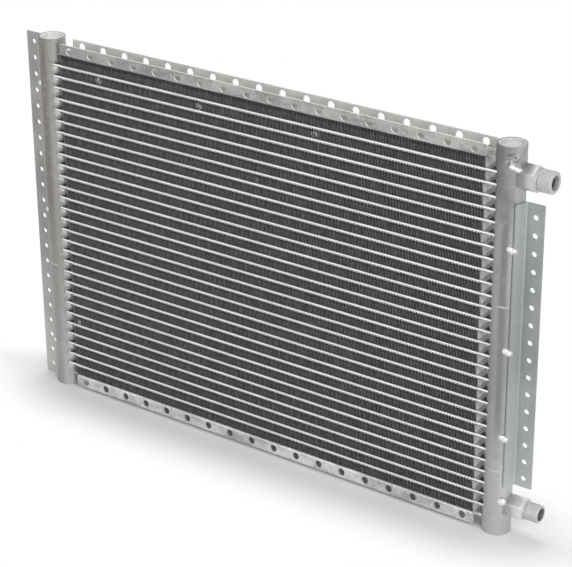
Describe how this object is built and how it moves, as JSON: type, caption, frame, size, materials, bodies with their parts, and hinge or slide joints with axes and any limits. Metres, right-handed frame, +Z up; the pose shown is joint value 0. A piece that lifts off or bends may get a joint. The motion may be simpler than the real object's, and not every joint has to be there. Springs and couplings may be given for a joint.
{
  "type": "microchannel condenser coil",
  "caption": "Flat rectangular heat exchanger core of flat tubes and folded fins between two upright round headers, with side plates, drilled brackets and threaded hose fittings.",
  "frame": {"origin": "level with the lower ends of the headers, on their axis plane, under the middle of the overall width", "axes": "+X along the tubes towards the fittings, +Y from the front to the back, +Z up along the headers"},
  "size_m": [0.5638, 0.0254, 0.356],
  "materials": {
    "header_aluminium": "dull, slightly mottled from brazing",
    "cap_aluminium": "bright",
    "inner_aluminium": "plain mill finish",
    "plate_aluminium": "satin mill finish",
    "bracket_aluminium": "dull mill finish",
    "fitting_aluminium": "machined satin",
    "weld_metal": "bright rippled bead",
    "tube_aluminium": "light satin",
    "fin_aluminium": "dark looking because the folds shade one another"
  },
  "bodies": {
    "root": {"left_header": "header_aluminium", "right_header": "header_aluminium", "left_top_cap": "cap_aluminium", "left_bottom_cap": "cap_aluminium", "right_top_cap": "cap_aluminium", "right_bottom_cap": "cap_aluminium", "left_baffle": "inner_aluminium", "right_upper_baffle": "inner_aluminium", "right_lower_baffle": "inner_aluminium", "top_side_plate": "plate_aluminium", "bottom_side_plate": "plate_aluminium", "left_bracket": "bracket_aluminium", "right_bracket": "bracket_aluminium", "inlet_fitting": "fitting_aluminium", "outlet_fitting": "fitting_aluminium", "inlet_weld": "weld_metal", "outlet_weld": "weld_metal", "left_bracket_welds": "weld_metal", "right_bracket_welds": "weld_metal", "flat_tube_1": "tube_aluminium", "flat_tube_2": "tube_aluminium", "flat_tube_3": "tube_aluminium", "flat_tube_4": "tube_aluminium", "flat_tube_5": "tube_aluminium", "flat_tube_6": "tube_aluminium", "flat_tube_7": "tube_aluminium", "flat_tube_8": "tube_aluminium", "flat_tube_9": "tube_aluminium", "flat_tube_10": "tube_aluminium", "flat_tube_11": "tube_aluminium", "flat_tube_12": "tube_aluminium", "flat_tube_13": "tube_aluminium", "flat_tube_14": "tube_aluminium", "flat_tube_15": "tube_aluminium", "flat_tube_16": "tube_aluminium", "flat_tube_17": "tube_aluminium", "flat_tube_18": "tube_aluminium", "flat_tube_19": "tube_aluminium", "flat_tube_20": "tube_aluminium", "flat_tube_21": "tube_aluminium", "flat_tube_22": "tube_aluminium", "flat_tube_23": "tube_aluminium", "flat_tube_24": "tube_aluminium", "flat_tube_25": "tube_aluminium", "flat_tube_26": "tube_aluminium", "flat_tube_27": "tube_aluminium", "flat_tube_28": "tube_aluminium", "flat_tube_29": "tube_aluminium", "fin_pack_1": "fin_aluminium", "fin_pack_2": "fin_aluminium", "fin_pack_3": "fin_aluminium", "fin_pack_4": "fin_aluminium"}
  },
  "joints": []
}
